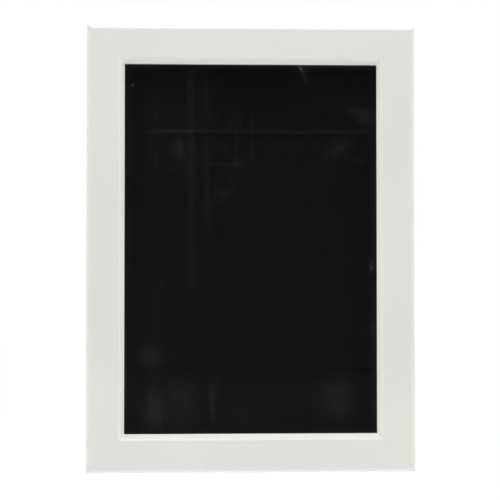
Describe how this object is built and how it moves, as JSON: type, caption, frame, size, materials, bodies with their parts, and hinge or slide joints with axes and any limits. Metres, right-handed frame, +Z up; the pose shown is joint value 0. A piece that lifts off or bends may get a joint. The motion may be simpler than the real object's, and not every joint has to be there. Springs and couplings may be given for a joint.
{
  "type": "snap frame",
  "caption": "Wall-mounted snap frame in portrait format: mitred white rails that flip open on hinge beads to free a clear cover sheet over a black back panel.",
  "frame": {"origin": "centre of the four wall screw holes on the back face, where the frame meets the wall", "axes": "+Z up the frame's long side, +X to the right as one looks at the face, the face looks along -Y and the wall lies behind at Y = 0"},
  "size_m": [0.243, 0.012, 0.33],
  "materials": {
    "rail_white": "satin",
    "panel_black": "satin",
    "sheet_clear": "gloss",
    "key_zinc": "satin",
    "screw_dark": "satin",
    "spring_steel": "satin"
  },
  "bodies": {
    "frame": {"base_rail_top": "rail_white", "base_rail_bottom": "rail_white", "base_rail_left": "rail_white", "base_rail_right": "rail_white", "corner_key_top_left": "key_zinc", "corner_key_top_right": "key_zinc", "corner_key_bottom_left": "key_zinc", "corner_key_bottom_right": "key_zinc", "corner_screws": "screw_dark", "back_panel": "panel_black", "cover_sheet": "sheet_clear", "spring_top_1": "spring_steel", "spring_top_2": "spring_steel", "spring_bottom_1": "spring_steel", "spring_bottom_2": "spring_steel", "spring_left_1": "spring_steel", "spring_left_2": "spring_steel", "spring_left_3": "spring_steel", "spring_right_1": "spring_steel", "spring_right_2": "spring_steel", "spring_right_3": "spring_steel"},
    "top_rail": {"snap_rail_top": "rail_white"},
    "bottom_rail": {"snap_rail_bottom": "rail_white"},
    "left_rail": {"snap_rail_left": "rail_white"},
    "right_rail": {"snap_rail_right": "rail_white"}
  },
  "joints": [
    {"name": "top_rail_hinge", "type": "hinge", "parent": "frame", "child": "top_rail", "pos_m": [0, -0.0062, 0.16268], "axis": [-1, 0, 0], "range_deg": [0, 90], "stiffness_Nm_per_rad": 0.05, "springref_deg": -114.59, "deforming": ["spring_top_1", "spring_top_2"]},
    {"name": "bottom_rail_hinge", "type": "hinge", "parent": "frame", "child": "bottom_rail", "pos_m": [0, -0.0062, -0.16268], "axis": [1, 0, 0], "range_deg": [0, 90], "stiffness_Nm_per_rad": 0.05, "springref_deg": -114.59, "deforming": ["spring_bottom_1", "spring_bottom_2"]},
    {"name": "left_rail_hinge", "type": "hinge", "parent": "frame", "child": "left_rail", "pos_m": [-0.11918, -0.0062, 0], "axis": [0, 0, -1], "range_deg": [0, 90], "stiffness_Nm_per_rad": 0.05, "springref_deg": -114.59, "deforming": ["spring_left_1", "spring_left_2", "spring_left_3"]},
    {"name": "right_rail_hinge", "type": "hinge", "parent": "frame", "child": "right_rail", "pos_m": [0.11918, -0.0062, 0], "axis": [0, 0, 1], "range_deg": [0, 90], "stiffness_Nm_per_rad": 0.05, "springref_deg": -114.59, "deforming": ["spring_right_1", "spring_right_2", "spring_right_3"]}
  ]
}
